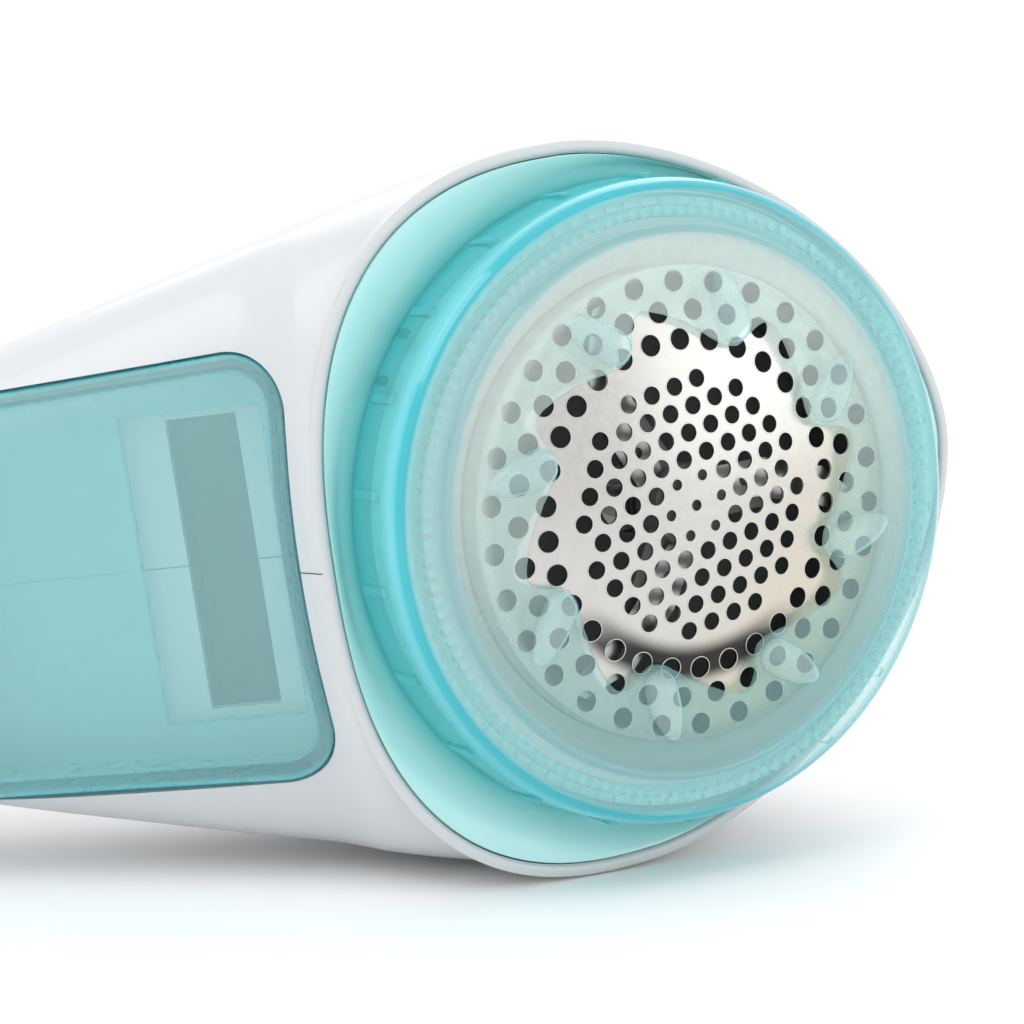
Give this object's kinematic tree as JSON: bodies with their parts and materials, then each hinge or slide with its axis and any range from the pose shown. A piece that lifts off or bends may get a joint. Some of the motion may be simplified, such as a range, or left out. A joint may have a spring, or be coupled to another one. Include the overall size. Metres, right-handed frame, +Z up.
{
  "type": "fabric shaver",
  "caption": "Battery fabric shaver lying on its side, with a see-through height cap over a round foil, a spinning cutter, a swing-out lint container and a sliding battery door.",
  "frame": {"origin": "centre of the bounding box, on the surface that the shaver lies on", "axes": "+Z up; the handle runs along -X and the head is at +X; the lint container is on the -Y side"},
  "size_m": [0.159, 0.0568, 0.0652],
  "materials": {
    "shell": "white, satin gloss",
    "plate": "pale aqua, gloss",
    "clear_aqua": "see-through aqua",
    "foil": "satin steel",
    "steel": "bright steel",
    "blade": "ground steel",
    "inner": "light grey, matt",
    "dark": "dark grey, matt",
    "rubber": "black rubber",
    "brass": "brass",
    "copper": "copper windings",
    "magnet": "dark ferrite",
    "cell": "plain wrapped cell",
    "lead": "insulated wire"
  },
  "bodies": {
    "handle": {"shell_upper": "shell", "shell_lower": "shell", "front_plate": "plate", "shell_screws": "steel", "cutter_chamber": "inner", "lint_duct": "dark", "duct_seal": "rubber", "motor_bracket": "inner", "bracket_screws": "steel", "motor_can": "steel", "magnets": "magnet", "motor_bushes": "brass", "motor_end_cap": "inner", "brushes": "brass", "pivot_pins": "steel", "battery_tray": "inner", "cells": "cell", "cell_springs": "steel", "contact_plates": "brass", "switch_body": "dark", "switch_contacts": "brass", "leads": "lead"},
    "rotor": {"motor_shaft": "steel", "armature": "copper", "commutator": "copper", "cutter_hub": "dark", "cutter_blades": "blade", "cutter_spring": "steel"},
    "foil_head": {"foil": "foil", "foil_ring": "inner"},
    "cap_ring": {"detent_ring": "plate"},
    "cap": {"height_cap": "clear_aqua"},
    "container": {"lint_container": "clear_aqua"},
    "switch": {"switch_knob": "plate"},
    "door": {"battery_door": "shell"}
  },
  "joints": [
    {"name": "cutter_spin", "type": "hinge", "parent": "handle", "child": "rotor", "pos_m": [0.05482, -0.01528, 0.03372], "axis": [0.5252, -0.848, 0.0705], "continuous": true},
    {"name": "foil_turn", "type": "hinge", "parent": "handle", "child": "foil_head", "pos_m": [0.05482, -0.01528, 0.03372], "axis": [0.5252, -0.848, 0.0705], "range_deg": [0, 25]},
    {"name": "cap_turn", "type": "hinge", "parent": "handle", "child": "cap_ring", "pos_m": [0.05482, -0.01528, 0.03372], "axis": [0.5252, -0.848, 0.0705], "range_deg": [0, 30]},
    {"name": "cap_lift", "type": "slide", "parent": "cap_ring", "child": "cap", "axis": [0.5252, -0.848, 0.0705], "range_m": [0, 0.014]},
    {"name": "container_open", "type": "hinge", "parent": "handle", "child": "container", "pos_m": [-0.01307, -0.01648, 0.0246], "axis": [0.1331, 0, -0.9911], "range_deg": [0, 60]},
    {"name": "switch_slide", "type": "slide", "parent": "handle", "child": "switch", "axis": [0.9555, 0.2656, 0.1283], "range_m": [0, 0.004]},
    {"name": "door_slide", "type": "slide", "parent": "handle", "child": "door", "axis": [-0.9911, 0, -0.1331], "range_m": [0, 0.05]}
  ]
}
